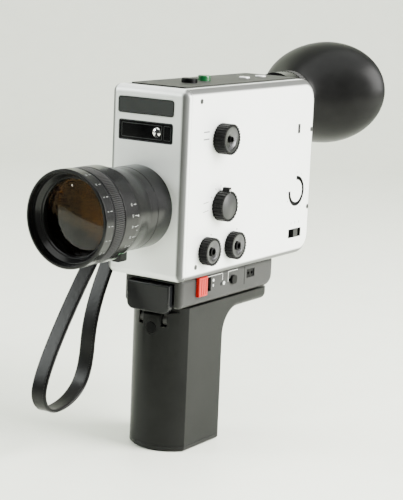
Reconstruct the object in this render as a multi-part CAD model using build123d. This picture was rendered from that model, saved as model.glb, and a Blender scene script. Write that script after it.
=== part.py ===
from build123d import *
import os
from math import cos, pi, radians, sin

# Cine camera with a folding battery grip, built as separate pieces.
# Each piece is written to parts/NODE.step, in millimetres with +Z up. The drawing axes are X to
# the control side, Y from the front plate to the eyepiece, and Z up from the underside of the
# case. Every piece is moved at the end, so that the origin is the middle of the grip's foot.

# ---- driving dimensions (mm) ----
WIDTH = 50.0            # case, side to side
LENGTH = 140.4          # case, front plate to rear wall
HEIGHT = 105.4          # case, underside to top
WALL = 2.0
SEAM = 0.15             # gap that shows between two covers
RUN = 0.05              # radial clearance of a shaft in its bore
SIDE = WIDTH / 2
COVER_LINE = 20.5       # where the side covers meet the middle frame
FRONT_DEPTH = 5.0

LENS_X, LENS_Z = -4.7, 39.6
SLEEVE_R = 22.9         # the rings turn on this sleeve
BORE_R = 21.6           # the lens groups slide in this bore
RING_R = 26.0

FINDER_X, FINDER_Z = 0.0, 92.0
NECK_R, NECK_Y = 15.5, 133.0    # the eyepiece neck is let into the rear corner
CUP_TILT = 9.0          # the oval eyecup is worn turned, its control side up

BASE_W = 39.0
BASE_FRONT, BASE_REAR = 10.0, 108.5
BASE_H = 17.0

GRIP_TOP, GRIP_FOOT = -17.5, -100.5
GRIP_FRONT, GRIP_REAR = 10.0, 57.0
FLARE_REAR = 104.6
GRIP_HALF = 19.0
FOOT_CAP = 3.0
FOLD_Y, FOLD_Z = 15.0, -25.1    # the grip folds about this line
FOLD_R = 5.0

SHUTTER_X, SHUTTER_Z = -1.0, 57.0
GEAR_MODULE = 0.5
GEAR_TEETH, PINION_TEETH = 36, 12
GEAR_ANGLE = 30.0
GEAR_CENTRES = GEAR_MODULE * (GEAR_TEETH + PINION_TEETH) / 2
MOTOR_X = SHUTTER_X + GEAR_CENTRES * cos(radians(GEAR_ANGLE))
MOTOR_Z = SHUTTER_Z + GEAR_CENTRES * sin(radians(GEAR_ANGLE))

BULKHEAD_Y = 47.0
CHASSIS_X = 7.0

DOOR_Y = (18.0, 133.0)
DOOR_Z = (7.0, 99.0)
DOOR_GAP = 0.35
HINGE_X, HINGE_Y, HINGE_R = -27.3, 134.5, 1.9

COUNTER_Y, COUNTER_Z = 121.6, 39.0
SWITCH_Y, SWITCH_Z = (114.6, 129.3), (10.8, 16.1)
TOP_BUTTONS = {"black_button": (2.0, 36.0, 4.5, 2.6), "green_button": (0.0, 54.0, 3.6, 3.2)}
KNOBS = {               # y, z, radius, height above the cover, grip notches
    "exposure_knob": (35.4, 77.1, 8.6, 7.3, 30),
    "speed_knob": (37.3, 39.5, 8.6, 6.5, 24),
    "timer_knob": (24.5, 15.4, 7.9, 5.4, 28),
    "fade_knob": (51.3, 15.4, 7.9, 5.0, 28),
}
DISHED = {"exposure_knob": "exposure_dish", "timer_knob": "timer_dish", "fade_knob": "fade_dish"}

POST_Y, POST_Z, POST_R = 10.2, 14.7, 3.2
STRAP_X = (-36.5, -26.5)
STRAP_THICK = 2.0

ORIGIN = Vector(0, -(GRIP_FRONT + GRIP_REAR) / 2, -GRIP_FOOT)
parts = {}


# ---- shape helpers ----
def block(x0, x1, y0, y1, z0, z1):
    """A rectangular block between two opposite corners."""
    centre = Pos((x0 + x1) / 2, (y0 + y1) / 2, (z0 + z1) / 2)
    return centre * Box(x1 - x0, y1 - y0, z1 - z0)


def panel(x0, x1, y0, y1, z0, z1, radius):
    """A flat panel that looks along Y, its four corners rounded."""
    flat = block(x0, x1, y0, y1, z0, z1)
    return fillet(flat.edges().filter_by(Axis.Y), radius)


def rod_x(radius, x0, x1, y, z):
    return Pos((x0 + x1) / 2, y, z) * Rot(0, 90, 0) * Cylinder(radius, x1 - x0)


def rod_y(radius, y0, y1, x=0.0, z=0.0):
    return Pos(x, (y0 + y1) / 2, z) * Rot(90, 0, 0) * Cylinder(radius, y1 - y0)


def rod_z(radius, z0, z1, x, y):
    return Pos(x, y, (z0 + z1) / 2) * Cylinder(radius, z1 - z0)


def tube_y(outer, inner, y0, y1, x=0.0, z=0.0):
    return rod_y(outer, y0, y1, x, z) - rod_y(inner, y0 - 1, y1 + 1, x, z)


def turned(outline, x=LENS_X, z=LENS_Z):
    """A ring turned about a line along Y, from its (y, radius) outline."""
    points = [(radius, y) for y, radius in outline]
    return Pos(x, 0, z) * revolve(make_face(Polyline(*points, close=True)), Axis.Y)


def side_profile(outline, radii, x0, x1):
    """A block with a (y, z) outline seen from the side, its corners rounded."""
    face = make_face(FilletPolyline(*outline, radius=radii, close=True))
    return Pos(x0, 0, 0) * extrude(Plane.YZ * face, x1 - x0)


def notched(radius, notch, count):
    """A round face with small notches cut all round its rim."""
    return Circle(radius) - PolarLocations(radius, count) * Circle(notch)


def gear(teeth, y0, y1, x, z, turn):
    """A spur gear about a line along Y, with a tooth at the angle turn."""
    pitch_r = GEAR_MODULE * teeth / 2
    half = pi * GEAR_MODULE / 2 / pitch_r / 2
    points = []
    for tooth in range(teeth):
        middle = radians(turn) + 2 * pi * tooth / teeth
        corners = ((-1.2, 1.15), (-0.88, 0.0), (-0.42, -0.9), (0.42, -0.9), (0.88, 0.0), (1.2, 1.15))
        for across, depth in corners:
            radius = pitch_r - depth * GEAR_MODULE
            angle = middle + across * half
            points.append((radius * cos(angle), radius * sin(angle)))
    face = make_face(Polyline(*points, close=True))
    return Pos(x, y1, z) * extrude(Plane.XZ * face, y1 - y0)


def lens_element(y_front, y_back, radius, bulge):
    """A round lens with a bulging front face and a flat back."""
    rim = y_front + bulge
    middle_r = radius * 0.5
    middle_y = y_front + bulge * 0.25
    front = ThreePointArc((0, y_front), (middle_r, middle_y), (radius, rim))
    rest = Polyline((radius, rim), (radius, y_back), (0, y_back), (0, y_front))
    return Pos(LENS_X, 0, LENS_Z) * revolve(make_face(front + rest), Axis.Y)


def keep(name, solid):
    parts[name] = solid


# ---- case ----
def case_block(inset):
    """The rounded outside of the case, shrunk on every side by inset."""
    y0, y1 = inset, LENGTH - inset
    z0, z1 = inset, HEIGHT - inset
    radii = (4.5 - inset, 12.0 - inset, 14.0 - inset, 4.5 - inset)
    solid = side_profile([(y0, z0), (y1, z0), (y1, z1), (y0, z1)], radii, inset - SIDE, SIDE - inset)
    faces = solid.faces().sort_by(Axis.X)
    return fillet(faces[0].edges() + faces[-1].edges(), 4.0 - inset)


def case():
    shell = case_block(0) - case_block(WALL)
    behind = FRONT_DEPTH + SEAM

    front = shell & block(-SIDE, SIDE, -1, FRONT_DEPTH, -1, HEIGHT + 1)
    front -= rod_y(15.1, -1, WALL + 1, LENS_X, LENS_Z)
    front -= panel(-19.9, 17.0, -1, 0.6, 90.0, 99.2, 1.6)
    front -= panel(-19.3, 16.8, -1, 1.2, 75.2, 86.6, 1.5)
    keep("front_cover", front)
    keep("name_plate", panel(-19.7, 16.8, -0.4, 0.6, 90.2, 99.0, 1.4))
    window = panel(-19.2, 16.7, 0.5, 1.2, 75.3, 86.5, 1.4)
    keep("meter_window", window - rod_y(3.0, 0, 2, 5.4, 81.0))
    keep("meter_lens", rod_y(3.0, -1.0, 1.2, 5.4, 81.0) & (Pos(5.4, 3.0, 81.0) * Sphere(3.6)))

    middle = COVER_LINE - SEAM
    frame = shell & block(-middle, middle, behind, LENGTH + 1, -1, HEIGHT + 1)
    frame -= block(-18.5, 18.5, behind + 2, 128.0, HEIGHT - 0.8, HEIGHT + 1)
    for x, y, radius, _ in TOP_BUTTONS.values():
        frame -= rod_z(radius + RUN, HEIGHT - 4, HEIGHT + 1, x, y)
    for y in (94.0, 112.0):
        frame -= rod_z(2.0, HEIGHT - 4, HEIGHT + 1, 2.0, y)
    frame -= rod_y(NECK_R, NECK_Y, LENGTH + 1, FINDER_X, FINDER_Z)
    keep("body_frame", frame)

    plate = block(-18.3, 18.3, behind + 2.2, 127.8, HEIGHT - 0.8, HEIGHT + 0.7)
    plate = fillet(plate.edges().filter_by(Axis.Z), 3.0)
    for x, y, radius, _ in TOP_BUTTONS.values():
        plate -= rod_z(radius + RUN, HEIGHT - 4, HEIGHT + 2, x, y)
    sockets = []
    for y in (94.0, 112.0):
        plate -= rod_z(2.0, HEIGHT - 4, HEIGHT + 2, 2.0, y)
        socket = rod_z(2.0, HEIGHT - 3, HEIGHT + 0.7, 2.0, y)
        socket += rod_z(3.2, HEIGHT + 0.7, HEIGHT + 1.3, 2.0, y)
        sockets.append(socket - rod_z(1.2, HEIGHT - 2, HEIGHT + 2, 2.0, y))
    keep("top_plate", plate)
    keep("top_sockets", Compound(sockets))

    control = shell & block(COVER_LINE, SIDE + 1, behind, LENGTH + 1, -1, HEIGHT + 1)
    for y, z, _, _, _ in KNOBS.values():
        control -= rod_x(2.0 + RUN, SIDE - 4, SIDE + 1, y, z)
    arc = rod_x(8.7, SIDE - 4, SIDE + 1, COUNTER_Y, COUNTER_Z)
    arc -= rod_x(7.2, SIDE - 5, SIDE + 2, COUNTER_Y, COUNTER_Z)
    arc -= block(SIDE - 5, SIDE + 2, COUNTER_Y - 12, COUNTER_Y, COUNTER_Z, COUNTER_Z + 12)
    control -= arc
    control -= block(SIDE - 4, SIDE + 1, *SWITCH_Y, *SWITCH_Z)
    control -= block(SIDE - 0.5, SIDE + 1, 120.5, 122.3, 74.2, 78.9)

    left = shell & block(-SIDE - 1, -COVER_LINE, behind, LENGTH + 1, -1, HEIGHT + 1)
    left -= block(-SIDE - 1, -SIDE + 4, *DOOR_Y, *DOOR_Z)
    left -= rod_x(1.6, -SIDE - 1, -SIDE + 4, POST_Y, POST_Z)
    for z0, z1 in ((30.0, 43.8), (62.2, 76.0)):
        left += block(HINGE_X, -SIDE, HINGE_Y - 1.0, HINGE_Y + 1.6, z0, z1)
        left += rod_z(HINGE_R, z0, z1, HINGE_X, HINGE_Y)
        left -= rod_z(0.9, z0 - 1, z1 + 1, HINGE_X, HINGE_Y)
    screws = []
    spots = [(14.5, 98.6), (14.9, 7.4), (136.0, 75.2), (136.0, 28.1)]
    for side in (1, -1):
        for y, z in spots:
            near, far = sorted((side * (SIDE - 0.4), side * (SIDE + 0.15)))
            head = rod_x(1.4, near, far, y, z)
            slot = block(near - 1, far + 1, y - 1.5, y + 1.5, z - 0.2, z + 0.2)
            slot &= block(*sorted((side * (SIDE - 0.1), side * (SIDE + 1))), y - 2, y + 2, z - 1, z + 1)
            inner, outer = sorted((side * (SIDE - 3.2), side * (SIDE - 0.4)))
            screws.append(head - slot + rod_x(0.8, inner, outer, y, z))
            hole = rod_x(1.4, near, far + 1, y, z) if side > 0 else rod_x(1.4, near - 1, far, y, z)
            hole += rod_x(0.8, inner - 1, outer + 1, y, z)
            if side > 0:
                control -= hole
            else:
                left -= hole
    keep("control_cover", control)
    keep("left_cover", left)
    keep("cover_screws", Compound(screws))


def film_door():
    y0, y1 = DOOR_Y[0] + DOOR_GAP, DOOR_Y[1] - DOOR_GAP
    z0, z1 = DOOR_Z[0] + DOOR_GAP, DOOR_Z[1] - DOOR_GAP
    door = block(-SIDE, -SIDE + 2, y0, y1, z0, z1)
    rim = block(-SIDE + 2, -SIDE + 4, y0 + 2, y1 - 2, z0 + 2, z1 - 2)
    door += rim - block(-SIDE + 1, -SIDE + 5, y0 + 4, y1 - 4, z0 + 4, z1 - 4)
    door += block(-SIDE - 0.3, -SIDE, y1 - 6, y1, 44.3, 61.7)
    door += block(HINGE_X - 1.0, -SIDE - 0.3, y1 - 6, HINGE_Y, 44.3, 61.7)
    door += rod_z(HINGE_R, 44.3, 61.7, HINGE_X, HINGE_Y)
    door -= rod_z(0.9 + RUN, 40, 66, HINGE_X, HINGE_Y)
    door -= block(-SIDE - 1, -SIDE + 1.2, 24.0, 32.0, 44.0, 60.0)
    door -= block(-SIDE, -SIDE + 5, 27.0, 29.0, 47.0, 57.0)
    keep("film_door", door)
    latch = block(-SIDE - 0.8, -SIDE + 1.1, 24.3, 31.7, 44.3, 54.3)
    latch -= block(-SIDE - 1, -SIDE - 0.3, 24, 32, 48.9, 49.7)
    latch += block(-SIDE + 1, -SIDE + 2.8, 27.2, 28.8, 47.5, 51.5)
    keep("door_latch", latch)
    door_pin = rod_z(0.9, 29.5, 76.5, HINGE_X, HINGE_Y)
    grip_pins = [rod_x(1.5, 4.4, 11.5, FOLD_Y, FOLD_Z), rod_x(1.5, -11.5, -4.4, FOLD_Y, FOLD_Z)]
    keep("hinge_pins", Compound([door_pin] + grip_pins))


# ---- inside the case ----
def mechanism():
    plate = block(CHASSIS_X, CHASSIS_X + 2, BULKHEAD_Y + 3, 132.5, 8.0, 82.0)
    plate -= rod_x(1.9 + RUN, CHASSIS_X - 1, CHASSIS_X + 3, 88.0, 44.0)
    keep("chassis_plate", plate)

    bulkhead = block(-20.4, 20.0, BULKHEAD_Y, BULKHEAD_Y + 3, 4.5, 99.8)
    bulkhead += block(-13, 3, BULKHEAD_Y + 3, BULKHEAD_Y + 4, 24, 52)
    bulkhead -= block(LENS_X - 3, LENS_X + 3, 40, 55, LENS_Z - 2.2, LENS_Z + 2.2)
    bulkhead -= block(-11.4, -9.6, 40, 55, 28.0, 38.0)
    bulkhead -= rod_y(1.5 + RUN, 40, 55, SHUTTER_X, SHUTTER_Z)
    bulkhead -= rod_y(8.0, 40, 55, FINDER_X, FINDER_Z)
    keep("gate_bulkhead", bulkhead)
    claw = block(-12, -9, BULKHEAD_Y - 0.9, BULKHEAD_Y - 0.1, 24, 40)
    claw += block(-11, -10, BULKHEAD_Y - 0.9, BULKHEAD_Y + 4.6, 29.0, 30.5)
    keep("film_claw", claw)

    disc = rod_y(19.0, 45.0, 45.6, SHUTTER_X, SHUTTER_Z)
    opening = block(SHUTTER_X, SHUTTER_X + 30, 44, 47, SHUTTER_Z, SHUTTER_Z + 30)
    disc -= opening - rod_y(7.0, 43, 48, SHUTTER_X, SHUTTER_Z)
    disc -= rod_y(1.5, 44, 47, SHUTTER_X, SHUTTER_Z)
    keep("shutter_disc", disc)
    shaft = rod_y(1.5, 40.5, 49.8, SHUTTER_X, SHUTTER_Z)
    keep("shutter_gear", shaft + gear(GEAR_TEETH, 41.5, 43.5, SHUTTER_X, SHUTTER_Z, GEAR_ANGLE))
    motor = rod_y(9.0, 12.0, 39.0, MOTOR_X, MOTOR_Z) + rod_y(4.0, 39.0, 40.2, MOTOR_X, MOTOR_Z)
    keep("drive_motor", motor - rod_y(1.0 + RUN, 34.0, 41.0, MOTOR_X, MOTOR_Z))
    gap_turn = GEAR_ANGLE + 180 + 180 / PINION_TEETH
    pinion = gear(PINION_TEETH, 41.0, 44.0, MOTOR_X, MOTOR_Z, gap_turn)
    keep("motor_pinion", pinion + rod_y(1.0, 34.5, 44.4, MOTOR_X, MOTOR_Z))

    spindle = rod_x(1.9, 1.0, CHASSIS_X + 4, 88.0, 44.0)
    spindle += rod_x(4.5, -2.0, CHASSIS_X - 0.3, 88.0, 44.0)
    for turn in (0, 120, 240):
        dog = Pos(0, 88.0, 44.0) * Rot(turn, 0, 0) * block(-4.0, 2.0, 1.5, 4.2, -0.6, 0.6)
        spindle += dog
    spindle += rod_x(7.0, CHASSIS_X + 2.3, CHASSIS_X + 4, 88.0, 44.0)
    keep("take_up_spindle", spindle)

    zoom = rod_y(6.0, 8.0, 32.0, 13.5, 17.0) + rod_y(1.2, 32.0, 38.0, 13.5, 17.0)
    keep("zoom_motor", zoom)
    board = block(12.5, 14.1, 62.0, 130.0, 52.0, 80.0)
    for y, size in ((68, 6), (80, 9), (95, 5), (106, 8), (120, 6)):
        board += block(14.1, 17.0, y, y + size, 60.0, 60.0 + size)
    keep("circuit_board", board + block(CHASSIS_X + 2, 12.5, 70, 74, 76, 80))
    finder = tube_y(8.0, 6.8, 30.0, LENGTH - 2.0, FINDER_X, FINDER_Z)
    keep("viewfinder_tube", finder)


# ---- lens ----
def lens():
    barrel = [(0, 15.0), (0, 22.9), (-12.8, 22.9), (-12.8, 22.0), (-19.2, 22.0), (-19.2, 22.9)]
    barrel += [(-21.0, 22.9), (-33.0, 25.0), (-35.3, 25.0), (-35.3, SLEEVE_R), (-56.4, SLEEVE_R)]
    barrel += [(-56.4, BORE_R), (-24.0, BORE_R), (-22.0, 12.5), (40.0, 12.5), (40.0, 15.0)]
    keep("lens_barrel", turned(barrel))

    lever = tube_y(22.8, 22.0 + RUN, -19.0, -13.0, LENS_X, LENS_Z)
    tab = block(LENS_X - 3.2, LENS_X + 3.2, -19.0, -13.0, LENS_Z - 28.6, LENS_Z - 22.4)
    keep("macro_lever", lever + fillet(tab.edges().filter_by(Axis.Y).group_by(Axis.Z)[0], 1.5))

    inner = SLEEVE_R + RUN
    zoom = [(-46.5, inner), (-46.5, 25.5), (-46.1, 25.9), (-36.0, 25.9), (-35.5, 25.4), (-35.5, inner)]
    keep("zoom_ring", turned(zoom))
    ribs = notched(RING_R, 0.45, 72) - Circle(inner)
    focus = Pos(LENS_X, -47.4, LENS_Z) * extrude(Plane.XZ * ribs, 7.6)
    focus += tube_y(25.3, inner, -57.0, -46.7, LENS_X, LENS_Z)
    keep("focus_ring", focus)

    cell_r = BORE_R - RUN
    cell = [(-64.0, 24.6), (-64.0, 25.6), (-63.4, 26.2), (-57.3, 26.2), (-57.3, cell_r)]
    cell += [(-47.0, cell_r), (-47.0, 20.4), (-56.4, 20.4), (-60.0, 23.4), (-60.0, 24.6)]
    keep("front_cell", turned(cell))
    keep("front_lens", lens_element(-57.0, -50.5, 20.4, 3.4))
    keep("zoom_lens_group", lens_element(-43.0, -37.0, BORE_R - RUN, 2.5))


# ---- eyepiece ----
def oval(y, half_x, half_z, shift_x, shift_z):
    long_axis = (cos(radians(CUP_TILT)), 0, sin(radians(CUP_TILT)))
    plane = Plane((FINDER_X + shift_x, y, FINDER_Z + shift_z), x_dir=long_axis, z_dir=(0, 1, 0))
    return plane * Ellipse(half_x, half_z)


def eyepiece():
    neck = tube_y(NECK_R, 8.0, NECK_Y, LENGTH - 1.0, FINDER_X, FINDER_Z)
    neck += tube_y(NECK_R, 9.6, LENGTH - 1.0, 146.0, FINDER_X, FINDER_Z)
    neck += tube_y(12.0, 9.6, 146.0, 157.0, FINDER_X, FINDER_Z)
    keep("eyepiece_neck", neck)
    keep("ocular_lens", rod_y(9.6, 151.0, 154.0, FINDER_X, FINDER_Z))
    ring = notched(15.8, 0.4, 48) - Circle(12.0 + RUN)
    placed = Pos(FINDER_X, 146.2, FINDER_Z) * extrude(Plane.XZ * ring, -4.6)
    keep("diopter_ring", placed)

    sections = [(151.1, 15.0, 15.0, 0, 0), (157.0, 17.5, 17.0, 0, 0), (165.0, 28.0, 25.5, 1.5, 0.6)]
    sections += [(176.0, 38.0, 30.5, 2.5, 0.8), (190.0, 43.5, 32.0, 3.0, 0.8)]
    outside = loft([oval(*section) for section in sections])
    hollow = [(157.3, 13.5, 13.0, 0, 0), (165.2, 25.5, 23.0, 1.5, 0.6)]
    hollow += [(176.2, 35.8, 28.3, 2.5, 0.8), (190.5, 41.8, 30.3, 3.0, 0.8)]
    cup = outside - loft([oval(*section) for section in hollow])
    cup -= rod_y(12.0 + RUN, 150.0, 158.0, FINDER_X, FINDER_Z)
    keep("eyecup", cup)


# ---- controls ----
def controls():
    for name, (y, z, radius, height, count) in KNOBS.items():
        base = SIDE + 0.2
        rim = notched(radius, 0.5, count)
        knob = Pos(base, y, z) * extrude(Plane.YZ * rim, height - 0.2)
        knob += rod_x(2.0, SIDE - 3.5, base, y, z)
        top = SIDE + height
        if name in DISHED:
            knob -= rod_x(radius - 1.4, top - 1.6, top + 1, y, z)
            dish = rod_x(radius - 1.4, top - 1.6, top - 0.2, y, z)
            hollow = Pos(top + 14.6, y, z) * Sphere(15.6)
            knob += rod_x(1.7, top - 1.6, top - 0.1, y, z)
            dish -= hollow
            keep(DISHED[name], dish - rod_x(1.7, top - 2, top + 1, y, z))
        else:
            knob -= rod_x(radius - 1.2, top - 0.3, top + 1, y, z)
            knob += block(SIDE + 2.0, top - 0.4, y - 1.3, y + 1.3, z + radius - 1.5, z + radius + 2.0)
        keep(name, knob)

    disc = rod_x(10.4, SIDE - 3.2, SIDE - 2.4, COUNTER_Y, COUNTER_Z)
    keep("counter_disc", disc + rod_x(1.5, SIDE - 8.0, SIDE - 3.2, COUNTER_Y, COUNTER_Z))

    middle_y = sum(SWITCH_Y) / 2
    flange = block(SIDE - 3.4, SIDE - 2.3, middle_y - 9.5, middle_y + 9.5, 8.8, 18.1)
    keep("slide_switch", flange + block(SIDE - 2.3, SIDE + 0.7, middle_y - 2.4, middle_y + 2.4, 11.2, 15.7))

    for name, (x, y, radius, height) in TOP_BUTTONS.items():
        top = HEIGHT + 0.7 + height
        stem = rod_z(radius, HEIGHT - 2.8, top, x, y)
        stem = fillet(stem.edges().sort_by(Axis.Z)[-1], 0.8)
        keep(name, stem + rod_z(radius + 0.9, HEIGHT - 3.8, HEIGHT - 2.8, x, y))

    post = rod_x(1.6, -SIDE - 1, -SIDE + WALL + 0.5, POST_Y, POST_Z)
    post += rod_x(POST_R, STRAP_X[0] - 0.6, -SIDE, POST_Y, POST_Z)
    keep("strap_post", post + rod_x(POST_R + 2.4, STRAP_X[0] - 1.6, STRAP_X[0] - 0.4, POST_Y, POST_Z))


# ---- base under the case ----
def base():
    half = BASE_W / 2
    outline = [(BASE_FRONT, -BASE_H), (BASE_REAR, -BASE_H), (BASE_REAR, 0), (BASE_FRONT, 0)]
    housing = side_profile(outline, (1.5, 7.0, 1.0, 1.0), -half, half)
    housing = fillet(housing.edges().filter_by(Axis.Z).group_by(Axis.Y)[0], 3.0)
    housing -= block(-half + 2, half - 2, 28.0, BASE_REAR - 3, -BASE_H + 2, 1)
    housing -= block(-14.8, 14.8, 0.0, 26.0, -16.0, -3.0)
    housing -= block(-14.8, 14.8, 0.0, 12.6, -18.0, -3.0)
    housing -= block(half - 3, half + 1, 25.0, 40.0, -10.5, -2.0)
    housing -= block(half - 3, half + 1, 57.8, 67.8, -8.0, -6.2)
    housing -= block(half - 3, half + 1, 78.0, 87.0, -8.8, -3.6)
    housing += rod_z(8.0, -BASE_H + 2, -8.0, 0, 66.0)
    housing -= rod_z(5.5, -BASE_H - 1, -9.0, 0, 66.0)
    for side in (-1, 1):
        near, far = sorted((side * 6.2, side * 9.0))
        housing += block(near, far, FOLD_Y - 1.4, FOLD_Y + 1.4, FOLD_Z, -BASE_H + 0.5)
        housing += rod_x(2.8, near, far, FOLD_Y, FOLD_Z)
        housing -= rod_x(1.5, near - 1, far + 1, FOLD_Y, FOLD_Z)
    keep("base_housing", housing)
    bush = rod_z(5.5, -BASE_H, -9.0, 0, 66.0)
    keep("tripod_bush", bush - rod_z(3.175, -BASE_H - 1, -9.6, 0, 66.0))

    trigger = block(-14.3, 14.3, 5.5, 9.2, -19.8, -3.5)
    trigger = fillet(trigger.edges().filter_by(Axis.Y).group_by(Axis.Z)[0], 4.2)
    trigger = fillet(trigger.faces().sort_by(Axis.Y)[0].edges(), 1.0)
    trigger += block(-13.0, 13.0, 9.2, 19.5, -15.4, -4.5)
    trigger -= rod_y(2.6, 12.0, 20.0, 0, -10.0)
    keep("trigger", trigger)
    turns = 5
    length = 13.3
    spring = Helix(pitch=length / turns, height=length, radius=1.9)
    wire = sweep(Plane(spring @ 0, z_dir=spring % 0) * Circle(0.25), path=spring)
    keep("trigger_spring", Pos(0, 12.35, -10.0) * Rot(-90, 0, 0) * wire)

    red = block(half + 0.1, half + 2.3, 24.7, 33.4, -11.7, -0.8)
    red = fillet(red.faces().sort_by(Axis.X)[-1].edges(), 0.6)
    for step in range(3):
        red -= block(half + 2.0, half + 3, 26.6 + 2.2 * step, 27.2 + 2.2 * step, -10.7, -1.8)
    red += block(half - 1.9, half + 0.1, 26.0, 32.0, -10.3, -2.2)
    keep("lock_switch", red)
    slider = block(half + 0.1, half + 1.6, 60.3, 65.3, -9.6, -4.6)
    slider = fillet(slider.edges().filter_by(Axis.X), 1.6)
    keep("battery_check_slider", slider + block(half - 1.5, half + 0.1, 61.6, 64.0, -7.95, -6.25))
    socket = block(half - 2.6, half - 0.4, 78.0, 87.0, -8.8, -3.6)
    for y in (80.6, 84.4):
        socket -= rod_x(1.0, half - 2.2, half + 1, y, -6.2)
    keep("remote_socket", socket)


# ---- folding grip ----
def grip():
    cap_top = GRIP_FOOT + FOOT_CAP
    plan = Polyline((-GRIP_HALF, 19.8), (-GRIP_HALF, FLARE_REAR), (GRIP_HALF, FLARE_REAR), (GRIP_HALF, 19.8))
    front = ThreePointArc((GRIP_HALF, 19.8), (0, GRIP_FRONT), (-GRIP_HALF, 19.8))
    section = fillet(make_face(plan + front).vertices().group_by(Axis.Y)[-1], 5.0)
    column = Pos(0, 0, GRIP_FOOT) * extrude(section, GRIP_TOP - GRIP_FOOT)

    rear = GRIP_REAR
    under = -24.5
    bend = 15.0
    outline = [(0, GRIP_FOOT - 5), (rear, GRIP_FOOT - 5), (rear, under), (FLARE_REAR, under)]
    outline += [(FLARE_REAR, GRIP_TOP + 1), (0, GRIP_TOP + 1)]
    side = side_profile(outline, (1.0, 1.0, bend, 6.0, 0.5, 0.5), -GRIP_HALF, GRIP_HALF)
    solid = column & side
    rear_edges = solid.edges().filter_by(Axis.Z).filter_by_position(Axis.Y, rear - 0.1, rear + 0.1)
    solid = fillet(rear_edges, 3.0)
    corner = block(-25, 25, 0, FOLD_Y, FOLD_Z, -10) - rod_x(FOLD_R, -26, 26, FOLD_Y, FOLD_Z)
    solid -= corner + block(-25, 25, 0, FOLD_Y + 0.6, FOLD_Z + FOLD_R, -10)

    cap = solid & block(-25, 25, 0, 70, GRIP_FOOT, cap_top)
    foot = cap.faces().sort_by(Axis.Z)[0]
    cap = chamfer(foot.edges(), 0.9)
    shell = solid & block(-25, 25, 0, 120, cap_top + 0.1, 0)
    shell -= block(-16.6, 16.6, 18.5, 53.5, cap_top - 1, -42.0)
    shell -= rod_y(3.5 + RUN, 0, 18, 0, -29.8)
    for side_sign in (-1, 1):
        near, far = sorted((side_sign * 5.9, side_sign * 9.3))
        shell -= block(near, far, 5, FOLD_Y + 3.2, FOLD_Z - 3.2, -10)
        shell -= rod_x(1.5 + RUN, *sorted((side_sign * 4.2, side_sign * 11.8)), FOLD_Y, FOLD_Z)
    keep("grip_shell", shell)
    keep("battery_cover", cap)
    button = rod_y(3.5, GRIP_FRONT - 0.1, 15.5, 0, -29.8)
    keep("grip_button", fillet(button.edges().sort_by(Axis.Y)[0], 0.5))
    cells = []
    for x in (-8.0, 8.0):
        for y in (27.9, 44.1):
            cell = rod_z(7.2, -97.2, -47.8, x, y) + rod_z(2.8, -47.8, -46.7, x, y)
            cells.append(cell)
    keep("battery_cells", Compound(cells))
    contacts = [block(-15.4, 15.4, y - 5, y + 5, -46.6, -42.0) for y in (27.9, 44.1)]
    keep("battery_contacts", Compound(contacts))


# ---- wrist strap ----
def wrist_strap():
    """A flat strap hanging as a loop from its post, drawn as the line through its middle."""
    points = [(8.0, 24.5), (18.5, 16.0), (-5.0, -24.0), (-7.5, -58.0), (-22.0, -71.5)]
    points += [(-46.0, -74.0), (-51.5, -54.0)]
    radii = (6.5, 6.5, 40.0, 22.0, 20.0, 9.0, 14.0)
    path = make_face(FilletPolyline(*points, radius=radii, close=True))
    band = offset(path, STRAP_THICK / 2) - offset(path, -STRAP_THICK / 2)
    keep("wrist_strap", Pos(STRAP_X[0], 0, 0) * extrude(Plane.YZ * band, STRAP_X[1] - STRAP_X[0]))


case()
film_door()
mechanism()
lens()
eyepiece()
controls()
base()
grip()
wrist_strap()

os.makedirs("parts", exist_ok=True)
for name, solid in parts.items():
    export_step(Pos(ORIGIN) * solid, f"parts/{name}.step")
print(len(parts), "nodes")
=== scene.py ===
# Looks of the cine camera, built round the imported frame. Metres, in the frame's own axes.
import bpy
import bmesh
from math import cos, pi, radians, sin
from mathutils import Matrix, Vector


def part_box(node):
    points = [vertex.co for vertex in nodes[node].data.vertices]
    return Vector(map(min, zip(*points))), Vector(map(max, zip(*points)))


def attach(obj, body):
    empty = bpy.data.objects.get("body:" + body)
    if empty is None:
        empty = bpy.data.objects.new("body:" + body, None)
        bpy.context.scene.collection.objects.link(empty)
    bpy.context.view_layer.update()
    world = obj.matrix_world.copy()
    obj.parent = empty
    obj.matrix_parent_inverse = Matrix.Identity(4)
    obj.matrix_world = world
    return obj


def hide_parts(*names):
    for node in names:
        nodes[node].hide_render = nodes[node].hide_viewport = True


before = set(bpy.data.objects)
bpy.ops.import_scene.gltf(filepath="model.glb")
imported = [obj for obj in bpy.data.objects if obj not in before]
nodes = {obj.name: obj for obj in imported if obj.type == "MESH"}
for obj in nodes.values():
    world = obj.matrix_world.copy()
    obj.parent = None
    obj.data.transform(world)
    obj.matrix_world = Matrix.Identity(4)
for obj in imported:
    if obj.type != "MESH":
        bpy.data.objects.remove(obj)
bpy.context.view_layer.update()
MM = 0.001

# ---- places taken from the frame ----
front_lo, front_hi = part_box("front_cover")
CASE = Vector(((front_lo.x + front_hi.x) / 2, front_lo.y, front_lo.z))   # foot of the front plate
ring_lo, ring_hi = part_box("front_cell")
LENS = Vector(((ring_lo.x + ring_hi.x) / 2, 0, (ring_lo.z + ring_hi.z) / 2))
SIDE_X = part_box("control_cover")[1].x
SLEEVE = 22.95 * MM     # the rings turn on a sleeve of this radius
neck_lo, neck_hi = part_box("eyepiece_neck")
FINDER = Vector(((neck_lo.x + neck_hi.x) / 2, 0, (neck_lo.z + neck_hi.z) / 2))


def at(x, y, z):
    """A point given in millimetres from the foot of the front plate, as a frame point."""
    return CASE + Vector((x, y, z)) * MM


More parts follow.
